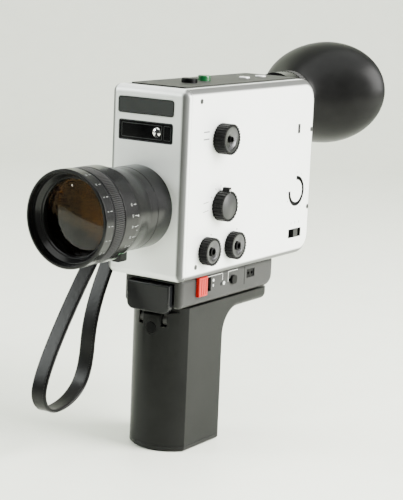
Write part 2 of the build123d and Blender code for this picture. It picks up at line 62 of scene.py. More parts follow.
# ---- materials ----
def shader(name):
    """An empty node material, its principled shader and a helper that adds nodes."""
    made = bpy.data.materials.new(name)
    made.use_nodes = True
    tree = made.node_tree
    main = tree.nodes["Principled BSDF"]

    def add(kind, **values):
        node = tree.nodes.new(kind)
        for key, value in values.items():
            if hasattr(node, key):
                setattr(node, key, value)
            else:
                node.inputs[key].default_value = value
        return node

    return made, main, add, tree.links.new


def paint_edge_reflection(add, link, place, colour_out, reflection_colour):
    """Painted reflection: mixes in a darker colour where a face turns from one side of the case to another,
    standing in for the dark room reflected in the rounded edges.
    """
    axes = add("ShaderNodeSeparateXYZ")
    link(place.outputs["Normal"], axes.inputs["Vector"])
    parts = []
    for pair in (("X", "Y"), ("X", "Z")):
        product = add("ShaderNodeMath", operation="MULTIPLY")
        link(axes.outputs[pair[0]], product.inputs[0])
        link(axes.outputs[pair[1]], product.inputs[1])
        size = add("ShaderNodeMath", operation="ABSOLUTE")
        link(product.outputs[0], size.inputs[0])
        parts.append(size)
    total = add("ShaderNodeMath", operation="MAXIMUM")
    link(parts[0].outputs[0], total.inputs[0])
    link(parts[1].outputs[0], total.inputs[1])
    mask = add("ShaderNodeMapRange", interpolation_type="SMOOTHSTEP")
    mask.inputs["From Min"].default_value = 0.05
    mask.inputs["From Max"].default_value = 0.38
    link(total.outputs[0], mask.inputs["Value"])
    mix = add("ShaderNodeMix", data_type="RGBA")
    mix.inputs["B"].default_value = (*reflection_colour, 1)
    link(mask.outputs["Result"], mix.inputs["Factor"])
    link(colour_out, mix.inputs["A"])
    return mix.outputs["Result"]


def surface(name, colour, rough, metal=0.0, vary=0.08, grain=900.0, bump=0.06, edge=0.25, wear=0.0,
            coat=0.0, stretch=(1, 1, 1), tint=None, anisotropic=0.0, specular=0.3, edge_reflection=None,
            uneven=0.07):
    """A solid material with uneven colour and gloss, fine grain, softened edges and edge wear, and, where
    asked, a painted dark reflection on rounded edges.
    """
    made, main, add, link = shader(name)
    place = add("ShaderNodeTexCoord")
    scale = add("ShaderNodeMapping", vector_type="POINT")
    scale.inputs["Scale"].default_value = stretch
    link(place.outputs["Object"], scale.inputs["Vector"])
    cloud = add("ShaderNodeTexNoise", Scale=38.0, Detail=5.0, Roughness=0.6)
    link(place.outputs["Object"], cloud.inputs["Vector"])
    fine = add("ShaderNodeTexNoise", Scale=grain, Detail=3.0, Roughness=0.55)
    link(scale.outputs["Vector"], fine.inputs["Vector"])
    ramp = add("ShaderNodeValToRGB")
    ramp.color_ramp.elements[0].position = 0.3
    ramp.color_ramp.elements[1].position = 0.72
    dark = [max(0.0, c * (1 - vary)) for c in colour]
    light = [min(1.0, c * (1 + vary) + 0.004) for c in (tint or colour)]
    ramp.color_ramp.elements[0].color = (*dark, 1)
    ramp.color_ramp.elements[1].color = (*light, 1)
    link(cloud.outputs["Fac"], ramp.inputs["Fac"])
    colour_out = ramp.outputs["Color"]
    if wear:
        shape = add("ShaderNodeNewGeometry")
        mask = add("ShaderNodeMapRange")
        mask.inputs["From Min"].default_value = 0.53
        mask.inputs["From Max"].default_value = 0.62
        mask.inputs["To Max"].default_value = wear
        link(shape.outputs["Pointiness"], mask.inputs["Value"])
        mix = add("ShaderNodeMix", data_type="RGBA")
        mix.inputs["B"].default_value = (0.42, 0.42, 0.41, 1)
        link(mask.outputs["Result"], mix.inputs["Factor"])
        link(colour_out, mix.inputs["A"])
        colour_out = mix.outputs["Result"]
    # Painted reflection: a darker colour on rounded edges, chosen by the direction of the face.
    if edge_reflection:
        colour_out = paint_edge_reflection(add, link, place, colour_out, edge_reflection)
    link(colour_out, main.inputs["Base Color"])
    gloss = add("ShaderNodeMapRange")
    gloss.inputs["To Min"].default_value = max(0.03, rough - uneven)
    gloss.inputs["To Max"].default_value = min(1.0, rough + uneven)
    link(cloud.outputs["Fac"], gloss.inputs["Value"])
    link(gloss.outputs["Result"], main.inputs["Roughness"])
    soft = add("ShaderNodeBevel", samples=4)
    soft.inputs["Radius"].default_value = edge * MM
    relief = add("ShaderNodeBump")
    relief.inputs["Strength"].default_value = bump
    relief.inputs["Distance"].default_value = 0.0002
    link(fine.outputs["Fac"], relief.inputs["Height"])
    link(soft.outputs["Normal"], relief.inputs["Normal"])
    link(relief.outputs["Normal"], main.inputs["Normal"])
    main.inputs["Metallic"].default_value = metal
    main.inputs["Coat Weight"].default_value = coat
    main.inputs["Coat Roughness"].default_value = 0.12
    main.inputs["Specular IOR Level"].default_value = specular
    main.inputs["Anisotropic"].default_value = anisotropic
    if anisotropic:
        round_x = add("ShaderNodeTangent", direction_type="RADIAL", axis="X")
        link(round_x.outputs["Tangent"], main.inputs["Tangent"])
    return made


def glass(name, colour, rough=0.02, ior=1.52):
    """Coated optical glass, with a faint bloom of dust."""
    made, main, add, link = shader(name)
    cloud = add("ShaderNodeTexNoise", Scale=5.0, Detail=1.0)
    gloss = add("ShaderNodeMapRange")
    gloss.inputs["To Min"].default_value = rough
    gloss.inputs["To Max"].default_value = rough + 0.012
    link(cloud.outputs["Fac"], gloss.inputs["Value"])
    link(gloss.outputs["Result"], main.inputs["Roughness"])
    main.inputs["Base Color"].default_value = (*colour, 1)
    main.inputs["Transmission Weight"].default_value = 1.0
    main.inputs["IOR"].default_value = ior
    return made


# The white covers get a painted dark reflection along their rounded edges.
WHITE = surface("satin_white_aluminium", (0.90, 0.92, 0.90), 0.38, metal=0.30, vary=0.010, bump=0.04,
                edge=0.3, grain=1600, edge_reflection=(0.085, 0.087, 0.085))
FRAME_METAL = surface("frame_aluminium", (0.40, 0.41, 0.40), 0.38, metal=0.8, vary=0.04, edge=0.4)
TOP_GREY = surface("top_plate_grey", (0.020, 0.021, 0.019), 0.50, vary=0.12, grain=1400, bump=0.12,
                   specular=0.12)
PLATE_GREY = surface("name_plate_grey", (0.022, 0.024, 0.024), 0.42, metal=0.2, vary=0.08, grain=500,
                     stretch=(0.1, 1, 3), bump=0.10)
BLACK_GLOSS = surface("black_gloss", (0.0015, 0.0015, 0.002), 0.10, vary=0.15, bump=0.01, specular=0.25)
TRIGGER_BLACK = surface("trigger_black", (0.002, 0.0022, 0.003), 0.24, vary=0.2, bump=0.04, edge=0.5,
                        specular=0.22)
WINDOW_EDGE = surface("window_edge", (0.05, 0.052, 0.055), 0.25, metal=0.4, vary=0.05)
SOCKET = surface("socket_nickel", (0.88, 0.88, 0.87), 0.34, metal=0.5, vary=0.03, bump=0.02)
CHROME = surface("bright_chrome", (0.85, 0.85, 0.84), 0.12, metal=1.0, vary=0.03, bump=0.02)
SCREW = surface("screw_steel", (0.07, 0.07, 0.07), 0.34, metal=1.0, vary=0.10, bump=0.1)
STEEL = surface("turned_steel", (0.42, 0.42, 0.43), 0.28, metal=1.0, vary=0.10, stretch=(1, 6, 1), bump=0.12)
CHASSIS = surface("cast_chassis", (0.34, 0.35, 0.35), 0.48, metal=0.85, vary=0.12, grain=600, bump=0.3)
MOTOR = surface("motor_can", (0.44, 0.43, 0.41), 0.30, metal=1.0, vary=0.08, stretch=(1, 8, 1))
BOARD = surface("circuit_board_green", (0.012, 0.075, 0.025), 0.42, vary=0.35, grain=260, bump=0.25)
LENS_BLACK = surface("anodised_black", (0.0022, 0.0022, 0.0025), 0.24, vary=0.1, bump=0.03, edge=0.3,
                     specular=0.20, uneven=0.012)
RIBBED = surface("ribbed_ring_black", (0.0045, 0.0045, 0.005), 0.32, metal=0.0, vary=0.2, bump=0.05,
                 edge=0.1, wear=0.08, specular=0.16)
KNOB_BLACK = surface("knob_black", (0.0012, 0.0012, 0.0014), 0.36, vary=0.25, bump=0.05, edge=0.2,
                     specular=0.07)
KNOB_FACE = surface("speed_knob_grey", (0.012, 0.0125, 0.013), 0.42, vary=0.12, bump=0.06)
DISH = surface("turned_dish", (0.075, 0.075, 0.078), 0.22, metal=1.0, vary=0.05, bump=0.02, anisotropic=0.85)
COUNTER = surface("counter_dial", (0.012, 0.013, 0.012), 0.5, vary=0.1)
SWITCH_DARK = surface("switch_well", (0.004, 0.0045, 0.004), 0.4, vary=0.2)
GREEN = surface("green_button_plastic", (0.001, 0.022, 0.006), 0.16, vary=0.3, coat=0.4,
                tint=(0.004, 0.08, 0.02))
RED = surface("red_switch_plastic", (0.42, 0.004, 0.002), 0.30, vary=0.10, bump=0.06, edge=0.4)
BASE_GREY = surface("base_grey", (0.034, 0.034, 0.033), 0.44, vary=0.10, grain=1500, bump=0.15,
                    edge=0.5, wear=0.06, specular=0.12)
GRIP = surface("grip_moulding", (0.0036, 0.0039, 0.0036), 0.34, vary=0.10, grain=1700, bump=0.10, edge=0.4,
               specular=0.12)
FOOT = surface("grip_foot_moulding", (0.0030, 0.0032, 0.0030), 0.36, vary=0.10, grain=1500, bump=0.10,
               edge=0.4, specular=0.16)
CELL = surface("cell_jacket", (0.20, 0.17, 0.11), 0.35, metal=0.8, vary=0.25)
BRASS = surface("turned_brass", (0.55, 0.38, 0.13), 0.28, metal=1.0, vary=0.08)
RUBBER = surface("eyecup_rubber", (0.0035, 0.0035, 0.0035), 0.36, vary=0.2, grain=700, bump=0.08,
                 specular=0.10)
LEATHER = surface("strap_leather", (0.002, 0.002, 0.002), 0.34, vary=0.3, grain=420, bump=0.45, edge=0.5,
                  specular=0.16)
THREAD = surface("waxed_thread", (0.012, 0.011, 0.010), 0.6, vary=0.2, grain=2500, bump=0.6)
PAINT_WHITE = surface("white_paint", (0.55, 0.56, 0.54), 0.5, vary=0.05)
PAINT_SCALE = surface("scale_paint", (0.26, 0.27, 0.26), 0.5, vary=0.05)
PAINT_GREY = surface("grey_print", (0.13, 0.135, 0.135), 0.5, vary=0.1)
PAINT_GREEN = surface("green_paint", (0.10, 0.30, 0.13), 0.5, vary=0.1)
FLAT_BLACK = surface("matt_black", (0.002, 0.002, 0.002), 0.7, vary=0.3, bump=0.1, specular=0.2)
AMBER = surface("amber_coating", (0.004, 0.0025, 0.001), 0.12, metal=0.0, vary=0.04, bump=0.0)
COATED = glass("coated_front_glass", (0.66, 0.44, 0.24), ior=1.30)
CLEAR = glass("eyepiece_glass", (0.85, 0.88, 0.92))

LOOKS = {
    WHITE: ["front_cover", "control_cover", "left_cover", "film_door"],
    FRAME_METAL: ["body_frame"],
    TOP_GREY: ["top_plate"],
    PLATE_GREY: ["name_plate"],
    BLACK_GLOSS: ["meter_window"],
    TRIGGER_BLACK: ["trigger"],
    CHROME: ["meter_lens"],
    SOCKET: ["top_sockets"],
    SCREW: ["cover_screws"],
    STEEL: ["hinge_pins", "shutter_gear", "motor_pinion", "film_claw", "take_up_spindle",
            "trigger_spring", "strap_post"],
    CHASSIS: ["chassis_plate", "gate_bulkhead"],
    MOTOR: ["drive_motor", "zoom_motor"],
    BOARD: ["circuit_board"],
    LENS_BLACK: ["lens_barrel", "zoom_ring", "front_cell", "macro_lever", "eyepiece_neck",
                 "viewfinder_tube"],
    RIBBED: ["focus_ring", "diopter_ring"],
    FLAT_BLACK: ["shutter_disc"],
    KNOB_BLACK: ["exposure_knob", "speed_knob", "timer_knob", "fade_knob", "black_button", "remote_socket",
                 "battery_check_slider", "door_latch", "battery_contacts", "grip_button"],
    DISH: ["exposure_dish", "timer_dish", "fade_dish"],
    COUNTER: ["counter_disc"],
    SWITCH_DARK: ["slide_switch"],
    GREEN: ["green_button"],
    RED: ["lock_switch"],
    BASE_GREY: ["base_housing"],
    GRIP: ["grip_shell"],
    FOOT: ["battery_cover"],
    CELL: ["battery_cells"],
    BRASS: ["tripod_bush"],
    COATED: ["front_lens", "zoom_lens_group"],
    CLEAR: ["ocular_lens"],
}


FLAT_SIDED = {"front_cover", "control_cover", "left_cover", "film_door", "body_frame", "top_plate",
              "grip_shell", "battery_cover", "base_housing", "trigger", "lock_switch"}


def dress(obj, look, angle=32.0):
    """Gives an object its material and smooth faces that break at its sharp edges."""
    obj.data.materials.clear()
    obj.data.materials.append(look)
    for face in obj.data.polygons:
        face.use_smooth = True
    weld = obj.modifiers.new("weld", "WELD")
    weld.merge_threshold = 0.002 * MM
    split = obj.modifiers.new("split", "EDGE_SPLIT")
    split.split_angle = radians(angle)
    if obj.name in FLAT_SIDED:
        flat = obj.modifiers.new("flat", "WEIGHTED_NORMAL")
        flat.keep_sharp = True


for look, names in LOOKS.items():
    for name in names:
        dress(nodes[name], look, 12.0 if name == "lens_barrel" else 32.0)


# ---- mesh helpers ----
def piece(name, points, faces, look, body, smooth=True):
    """A mesh piece with its material, riding on a body."""
    mesh = bpy.data.meshes.new(name)
    mesh.from_pydata([tuple(p) for p in points], [], faces)
    mesh.validate()
    obj = bpy.data.objects.new(name, mesh)
    bpy.context.scene.collection.objects.link(obj)
    fix = bmesh.new()
    fix.from_mesh(mesh)
    bmesh.ops.recalc_face_normals(fix, faces=fix.faces)
    fix.to_mesh(mesh)
    fix.free()
    mesh.materials.append(look)
    if smooth:
        for face in mesh.polygons:
            face.use_smooth = True
    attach(obj, body)
    return obj


class Shape:
    """Points and faces gathered from several blocks, rings and strips, to make one piece."""

    def __init__(self):
        self.points = []
        self.faces = []

    def add(self, points, faces):
        start = len(self.points)
        self.points += [Vector(p) for p in points]
        self.faces += [tuple(start + i for i in face) for face in faces]

    def prism(self, outline, lift):
        """A flat outline with thickness, between the outline and the outline moved by lift."""
        count = len(outline)
        points = [Vector(p) for p in outline] + [Vector(p) + lift for p in outline]
        faces = [tuple(range(count)), tuple(range(2 * count - 1, count - 1, -1))]
        faces += [(i, (i + 1) % count, count + (i + 1) % count, count + i) for i in range(count)]
        self.add(points, faces)

    def lathe(self, outline, centre, turns=96):
        """A closed ring turned about a line along Y, from its (radius, y) outline in metres."""
        count = len(outline)
        points = []
        for turn in range(turns):
            angle = 2 * pi * turn / turns
            for radius, y in outline:
                points.append((centre.x + radius * cos(angle), y, centre.z + radius * sin(angle)))
        faces = []
        for turn in range(turns):
            here, there = turn * count, (turn + 1) % turns * count
            for i in range(count):
                j = (i + 1) % count
                faces.append((here + i, here + j, there + j, there + i))
        self.add(points, faces)

    def make(self, name, look, body, smooth=False):
        return piece(name, self.points, self.faces, look, body, smooth)


def side_strip(shape, y0, z0, y1, z1, wide=0.5, lift=0.03, x=None):
    """A thin printed line on a face that looks along +X, between two (y, z) places in mm."""
    start, end = Vector((y0, z0)), Vector((y1, z1))
    along = (end - start).normalized()
    across = Vector((-along.y, along.x)) * wide / 2
    corners = [start - across, end - across, end + across, start + across]
    base = (SIDE_X if x is None else x)
    points = []
    for c in corners:
        p = at(0, c.x, c.y)
        p.x = base
        points.append(p)
    shape.prism(points, Vector((lift * MM, 0, 0)))


def round_mark(shape, y, z, radius, lift=0.03, x=None, count=16):
    base = (SIDE_X if x is None else x)
    points = []
    for i in range(count):
        angle = 2 * pi * i / count
        p = at(0, y + radius * cos(angle), z + radius * sin(angle))
        p.x = base
        points.append(p)
    shape.prism(points, Vector((lift * MM, 0, 0)))


def knob_place(name):
    """The centre of a knob as (y, z) in mm from the foot of the front plate, and its radius."""
    lo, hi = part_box(name)
    middle = (lo + hi) / 2 - CASE
    return middle.y / MM, middle.z / MM, (hi.y - lo.y) / 2 / MM


# ---- printed marks on the control side ----
def control_marks():
    shape = Shape()
    y, z, radius = knob_place("exposure_knob")
    for line in (4.5, 0.5):
        side_strip(shape, y - radius - 9.0, z + line, y - radius - 3.4, z + line, 0.7)
    y, z, radius = knob_place("speed_knob")
    z -= 1.0
    for angle in (58, 90, 118, 150, 0, 8):
        inner, outer = radius + 1.6, radius + 2.8
        side_strip(shape, y + inner * cos(radians(angle)), z + inner * sin(radians(angle)),
                   y + outer * cos(radians(angle)), z + outer * sin(radians(angle)), 0.5)
    for line in (3.2, -1.6):
        side_strip(shape, y - radius - 8.5, z + line - 0.6, y - radius - 3.2, z + line, 0.35)
    for name in ("timer_knob", "fade_knob"):
        y, z, radius = knob_place(name)
        for angle in (40, 60, -40):
            reach = radius + 1.8
            round_mark(shape, y + reach * cos(radians(angle)), z + reach * sin(radians(angle)), 0.45)
    y, z, radius = knob_place("counter_disc")
    for turn in range(0, 271, 30):
        angle = radians(90 - turn)
        side_strip(shape, y + 10.6 * cos(angle), z + 10.6 * sin(angle),
                   y + 11.6 * cos(angle), z + 11.6 * sin(angle), 0.3)
    for step in (-4.5, 0.0, 4.5):
        side_strip(shape, 122.0 + step, 19.0, 122.0 + step, 20.6, 0.4)
    shape.make("control_marks", PAINT_GREY, "camera_body")


def shade_lining(shape, outer, inner, front=0.03, back=-1.9):
    """A thin dark sleeve between two outlines, let into a slot of the control side or laid on its face:
    painted shade in the slot.
    """
    count = len(outer)
    points = []
    for x in (SIDE_X + front * MM, SIDE_X + back * MM):
        for outline in (outer, inner):
            for y, z in outline:
                p = at(0, y, z)
                p.x = x
                points.append(p)
    faces = []
    for i in range(count):
        j = (i + 1) % count
        for a, b in ((0, 1), (1, 3), (3, 2), (2, 0)):
            faces.append((a * count + i, a * count + j, b * count + j, b * count + i))
    shape.add(points, faces)


def arc_outline(y, z, inner, outer, start, end, count=40):
    """The outline of a curved slot, its angles from +Y towards +Z."""
    turns = [radians(start + (end - start) * i / count) for i in range(count + 1)]
    line = [(y + outer * cos(t), z + outer * sin(t)) for t in turns]
    return line + [(y + inner * cos(t), z + inner * sin(t)) for t in reversed(turns)]


def painted_slot_shade():
    shape = Shape()
    # Painted shade: dark sleeves on the slot walls, a flat dark band round the counter arc and a dark patch
    # over the small upright slot make the slots read dark.
    y, z, _ = knob_place("counter_disc")
    shade_lining(shape, arc_outline(y, z, 7.21, 8.69, -180, 90), arc_outline(y, z, 7.45, 8.45, -178, 88))
    shade_lining(shape, arc_outline(y, z, 6.75, 9.15, -183, 93), arc_outline(y, z, 7.3, 8.6, -179, 89), 0.05, 0.0)
    lo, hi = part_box("slide_switch")
    y = (lo.y + hi.y) / 2 / MM - CASE.y / MM
    y0, y1, z0, z1 = y - 7.34, y + 7.34, 10.81, 16.09
    outer = [(y0, z0), (y1, z0), (y1, z1), (y0, z1)]
    inner = [(y0 + 0.15, z0 + 0.1), (y1 - 0.15, z0 + 0.1), (y1 - 0.15, z1 - 0.1), (y0 + 0.15, z1 - 0.1)]
    shade_lining(shape, outer, inner)
    corners = [at(0, *c) for c in ((120.1, 73.8), (122.7, 73.8), (122.7, 79.3), (120.1, 79.3))]
    for corner in corners:
        corner.x = SIDE_X + 0.005 * MM
    shape.prism(corners, Vector((0.06 * MM, 0, 0)))
    shape.make("painted_slot_shade", FLAT_BLACK, "camera_body")


def knob_marks():
    """The black centre and short pointer of each dished knob, and the face of the plain one."""
    for name, body, centre in (("exposure_dish", "exposure_knob", 1.3), ("timer_dish", "timer_knob", 2.3),
                               ("fade_dish", "fade_knob", 2.3)):
        y, z, radius = knob_place(name)
        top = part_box(name)[1].x
        shape = Shape()
        side_strip(shape, y - 0.8, z + 1.0, y - radius * 0.4, z + radius * 0.66, 0.4, 0.10, top - 0.45 * MM)
        round_mark(shape, y, z, centre, 0.5, top - 0.4 * MM, 32)
        shape.make(body + "_centre", FLAT_BLACK, body)
    y, z, radius = knob_place("speed_knob")
    z -= 1.0
    lo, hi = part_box("speed_knob")
    shape = Shape()
    side_strip(shape, y, z + 5.4, y, z + 9.6, 0.7, 0.12, hi.x - 0.35 * MM)
    shape.make("speed_knob_pointer", PAINT_WHITE, "speed_knob")
    disc = Shape()
    ring = [(7.2, 0.02), (7.0, 0.22), (0.01, 0.30)]
    count = 64
    points, faces = [], []
    for radius, lift in ring:
        for i in range(count):
            angle = 2 * pi * i / count
            p = at(0, y + radius * cos(angle), z + radius * sin(angle))
            p.x = hi.x - 0.3 * MM + lift * MM
            points.append(p)
    for row in range(len(ring) - 1):
        for i in range(count):
            j = (i + 1) % count
            faces.append((row * count + i, row * count + j, (row + 1) * count + j, (row + 1) * count + i))
    disc.add(points, faces)
    disc.make("speed_knob_face", KNOB_FACE, "speed_knob", smooth=True)


# ---- base marks ----
def base_marks():
    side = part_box("base_housing")[1].x
    shape = Shape()
    for y0, z0, y1, z1 in ((36.0, -2.0, 52.0, -2.0), (52.0, -2.0, 52.0, -6.0), (58.0, -2.0, 68.0, -2.0),
                           (58.0, -2.0, 58.0, -8.0)):
        side_strip(shape, y0, z0, y1, z1, 0.35, x=side)
    round_mark(shape, 42.5, -4.7, 0.9, x=side)
    round_mark(shape, 53.8, -8.0, 1.1, x=side)
    side_strip(shape, 42.5, -7.0, 42.5, -8.4, 1.0, x=side)
    shape.make("base_marks", PAINT_WHITE, "camera_body")
    # Painted shade: a flat dark line where the shade of a groove falls, and a dark dot.
    shade_line_and_dot = Shape()
    side_strip(shade_line_and_dot, 75.8, -1.5, 75.8, -12.0, 0.8, x=side)
    round_mark(shade_line_and_dot, 50.8, -8.0, 1.1, x=side)
    shade_line_and_dot.make("base_shade_line_and_dot", FLAT_BLACK, "camera_body")


# ---- numbers round the lens ----
def ring_text(text, angle, y, height, radius, name, facing=1):
    """A number laid on the outside of a lens ring. Angle is from +X towards +Z."""
    curve = bpy.data.curves.new(name, "FONT")
    curve.body = text
    curve.size = height * MM
    curve.align_x = "CENTER"
    curve.extrude = 0.02 * MM
    curve.resolution_u = 3
    made = bpy.data.objects.new(name, curve)
    bpy.context.scene.collection.objects.link(made)
    bpy.context.view_layer.update()
    mesh = bpy.data.meshes.new_from_object(made)
    bpy.data.objects.remove(made)
    points = []
    for v in mesh.vertices:
        turn = radians(angle) + facing * v.co.x / radius
        reach = radius + 0.03 * MM + v.co.z
        points.append((LENS.x + reach * cos(turn), y + facing * v.co.y, LENS.z + reach * sin(turn)))
    faces = [tuple(f.vertices) for f in mesh.polygons]
    return points, faces


def ring_tick(shape, angle, y0, y1, radius, wide=0.35):
    """A short engraved line along a lens ring."""
    half = wide * MM / 2 / radius
    points = []
    for reach in (radius + 0.03 * MM, radius + 0.05 * MM):
        for side, y in ((-half, y0), (half, y0), (half, y1), (-half, y1)):
            turn = radians(angle) + side
            points.append((LENS.x + reach * cos(turn), y, LENS.z + reach * sin(turn)))
    shape.add(points, [(0, 1, 2, 3), (7, 6, 5, 4), (0, 4, 5, 1), (1, 5, 6, 2), (2, 6, 7, 3), (3, 7, 4, 0)])


def lens_numbers():
    """Zoom, distance and index marks, with plain numbers."""
    lo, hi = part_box("zoom_ring")
    radius = (hi.x - lo.x) / 2
    for name, look, first, texts in (
        ("zoom_numbers", PAINT_SCALE, 18, ("56", "42", "30", "20", "15")),
        ("zoom_numbers_green", PAINT_GREEN, -47, ("12", "10", "8", "7")),
    ):
        shape = Shape()
        for i, text in enumerate(texts):
            angle = first - 13 * i
            shape.add(*ring_text(text, angle, lo.y + 5.9 * MM, 1.7, radius, name))
            ring_tick(shape, angle, lo.y + 8.2 * MM, lo.y + 10.2 * MM, radius)
        shape.make(name, look, "zoom_ring")
    lo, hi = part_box("front_cell")
    radius = (hi.x - lo.x) / 2
    shape = Shape()
    for i, text in enumerate(("20", "10", "7", "5", "4", "3", "2.5", "2", "1.8", "1.5")):
        angle = 66 - 17 * i
        shape.add(*ring_text(text, angle, lo.y + 2.2 * MM, 1.5, radius, "n"))
        ring_tick(shape, angle, lo.y + 4.6 * MM, lo.y + 6.2 * MM, radius, 0.25)
    shape.make("distance_numbers", PAINT_SCALE, "front_cell")
    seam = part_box("zoom_ring")[1].y
    shape = Shape()
    ring_tick(shape, 4, seam + 0.4 * MM, seam + 1.8 * MM, 25.0 * MM, 0.9)
    for angle in (-8, -14, -22, -30):
        ring_tick(shape, angle, seam + 0.3 * MM, seam + 1.6 * MM, 25.0 * MM, 0.3)
    shape.make("lens_index", PAINT_SCALE, "camera_body")


# ---- the look into the lens ----
def lens_inside():
    """Blackened step rings behind the mouth, and the curved coated faces deeper in the lens."""
    lo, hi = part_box("front_cell")
    glass_lo, glass_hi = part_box("front_lens")
    rim = (glass_hi.x - glass_lo.x) / 2
    steps = Shape()
    outline = []
    for step in range(5):
        radius = rim + (3.2 - 0.62 * step) * MM
        y = lo.y + (4.2 + 0.62 * step) * MM
        outline += [(radius, y), (radius - 0.30 * MM, y + 0.30 * MM)]
    outline += [(rim + 0.9 * MM, lo.y + 7.2 * MM), (rim + 4.0 * MM, lo.y + 7.2 * MM)]
    steps.lathe(outline, LENS)
    steps.make("front_baffle_rings", FLAT_BLACK, "front_cell", smooth=False)
    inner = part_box("zoom_lens_group")[1]
    dome(-1.0, 17.0, inner.y + 3 * MM, 5.0, "inner_coated_face", AMBER, "camera_body")


def dome(sign, radius, y, bulge, name, look, body, count=64, rows=14):
    """A shallow round cap about the lens axis, bulging towards -Y (sign -1) or +Y."""
    points = [(LENS.x, y + sign * bulge * MM, LENS.z)]
    faces = []
    for row in range(1, rows + 1):
        share = row / rows
        for i in range(count):
            angle = 2 * pi * i / count
            reach = radius * share * MM
            points.append((LENS.x + reach * cos(angle), y + sign * bulge * (1 - share * share) * MM,
                           LENS.z + reach * sin(angle)))
    for i in range(count):
        faces.append((0, 1 + i, 1 + (i + 1) % count))
    for row in range(rows - 1):
        for i in range(count):
            a, b = 1 + row * count + i, 1 + row * count + (i + 1) % count
            faces.append((a, a + count, b + count, b))
    return piece(name, points, faces, look, body)


# ---- eyecup ----
def eyecup():
    """A flared oval rubber cup with a thick rolled rim and a stepped collar."""
    lo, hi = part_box("eyecup")
    start, end = lo.y, hi.y
    depth = end - start
    centre = (lo + hi) / 2
    wide, tall = 43.4 * MM, 31.9 * MM
    tilt = radians(9.0)
    collar = 15.0 * MM
    rows = 26
    count = 72

    def section(share):
        """Half-widths and centre of the outside at a share of the depth."""
        flare = sin(min(1.0, max(0.0, (share - 0.08) / 0.92)) * pi / 2)
        spread = flare ** 1.25
        half_x = collar + (wide - collar) * spread
        half_z = collar + (tall - collar) * flare ** 1.05
        middle_x = FINDER.x + (centre.x - FINDER.x) * spread
        middle_z = FINDER.z + (centre.z - FINDER.z) * spread
        return half_x, half_z, middle_x, middle_z

    points, faces = [], []

    def ring(y, half_x, half_z, cx, cz):
        for i in range(count):
            angle = 2 * pi * i / count
            along, up = half_x * cos(angle), half_z * sin(angle)
            x = cx + along * cos(tilt) - up * sin(tilt)
            z = cz + along * sin(tilt) + up * cos(tilt)
            points.append((x, y, z))

    for row in range(rows + 1):
        share = row / rows
        ring(start + depth * share * 0.985, *section(share))
    half_x, half_z, cx, cz = section(1.0)
    ring(end, half_x - 0.7 * MM, half_z - 0.7 * MM, cx, cz)
    ring(end - 0.3 * MM, half_x - 2.0 * MM, half_z - 2.0 * MM, cx, cz)
    for row in range(rows, 3, -1):
        share = row / rows
        half_x, half_z, cx, cz = section(share)
        ring(start + depth * share * 0.97, half_x - 2.2 * MM, half_z - 2.2 * MM, cx, cz)
    ring(start + 6.2 * MM, 12.2 * MM, 12.2 * MM, FINDER.x, FINDER.z)
    ring(start, 12.2 * MM, 12.2 * MM, FINDER.x, FINDER.z)
    total = len(points) // count
    for row in range(total):
        for i in range(count):
            j = (i + 1) % count
            here, there = row * count, (row + 1) % total * count
            faces.append((here + i, here + j, there + j, there + i))
    cup = piece("rubber_eyecup", points, faces, RUBBER, "eyecup")
    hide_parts("eyecup")
    smooth = cup.modifiers.new("smooth", "SUBSURF")
    smooth.levels = smooth.render_levels = 1


# ---- strap ----
STRAP_ROUTE = [(8.0, 24.5), (18.5, 16.0), (-5.0, -24.0), (-7.5, -58.0), (-22.0, -71.5), (-46.0, -74.0),
               (-51.5, -54.0)]


def strap_line(per_corner=10):
    """Points of a smooth closed line that turns at each corner of the route."""
    line = []
    count = len(STRAP_ROUTE)
    for i in range(count):
        before, here, after = (Vector(STRAP_ROUTE[(i + k - 1) % count]) for k in range(3))
        start, end = (before + here) / 2, (here + after) / 2
        for step in range(per_corner):
            t = step / per_corner
            line.append(start * (1 - t) ** 2 + here * 2 * t * (1 - t) + end * t * t)
    return line


def strap():
    lo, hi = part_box("wrist_strap")
    left, right = lo.x, hi.x
    line = strap_line()
    count = len(line)
    half = 0.95
    edge = 0.55 * MM
    profile = [(left, -half + 0.5), (left + edge, -half), (right - edge, -half), (right, -half + 0.5),
               (right, half - 0.5), (right - edge, half), (left + edge, half), (left, half - 0.5)]
    middle_rows = [0.25, 0.5, 0.75]
    inner = [(left + (right - left) * s, -half) for s in middle_rows]
    outer = [(left + (right - left) * s, half) for s in reversed(middle_rows)]
    profile = profile[:2] + inner + profile[2:6] + outer + profile[6:]
    points, faces = [], []
    wide = len(profile)
    for i in range(count):
        along = (line[(i + 1) % count] - line[i - 1]).normalized()
        across = Vector((-along.y, along.x))
        for x, off in profile:
            where = line[i] + across * off
            p = at(0, where.x, where.y)
            p.x = x
            points.append(p)
    for i in range(count):
        for k in range(wide):
            here, there = i * wide, (i + 1) % count * wide
            faces.append((here + k, here + (k + 1) % wide, there + (k + 1) % wide, there + k))
    band = piece("leather_strap", points, faces, LEATHER, "wrist_strap")
    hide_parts("wrist_strap")
    smooth = band.modifiers.new("smooth", "SUBSURF")
    smooth.levels = smooth.render_levels = 1
    stitches = Shape()
    fine = strap_line(40)
    for i in range(0, len(fine), 2):
        here, there = fine[i], fine[(i + 1) % len(fine)]
        along = (there - here).normalized()
        across = Vector((-along.y, along.x))
        for x in (left + 1.3 * MM, right - 1.3 * MM):
            for side in (-1, 1):
                corners = []
                for base, width in ((here, -0.16), (there, -0.16), (there, 0.16), (here, 0.16)):
                    where = base + across * side * (half - 0.02)
                    p = at(0, where.x, where.y)
                    p.x = x + width * MM
                    corners.append(p)
                lift = Vector((0, across.x, across.y)) * side * 0.12 * MM
                stitches.prism(corners, lift)
    stitches.make("strap_stitches", THREAD, "wrist_strap")


